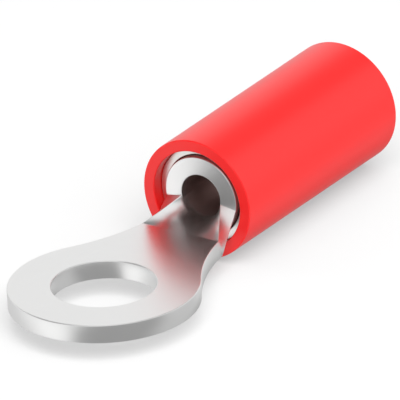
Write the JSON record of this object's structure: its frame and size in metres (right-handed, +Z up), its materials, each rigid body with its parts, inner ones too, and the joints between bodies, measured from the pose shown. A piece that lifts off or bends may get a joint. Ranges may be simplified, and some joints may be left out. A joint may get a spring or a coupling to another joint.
{
  "type": "ring terminal",
  "caption": "Crimp ring terminal: a flat ring tongue formed into a wire barrel, a metal support sleeve and a red plastic insulation sleeve.",
  "frame": {"origin": "centre of the stud hole on the underside of the ring tongue", "axes": "+X from the stud hole along the wire barrel towards the wire, +Y across the tongue, +Z up out of the tongue's top face"},
  "size_m": [0.0216, 0.0078, 0.0053],
  "materials": {
    "tinned_copper": "satin tin plating over copper",
    "sleeve_copper": "satin tin plating over thin copper",
    "red_insulation": "smooth semi-gloss moulded plastic"
  },
  "bodies": {
    "root": {"terminal_body": "tinned_copper", "support_sleeve": "sleeve_copper", "insulation_sleeve": "red_insulation"}
  },
  "joints": []
}
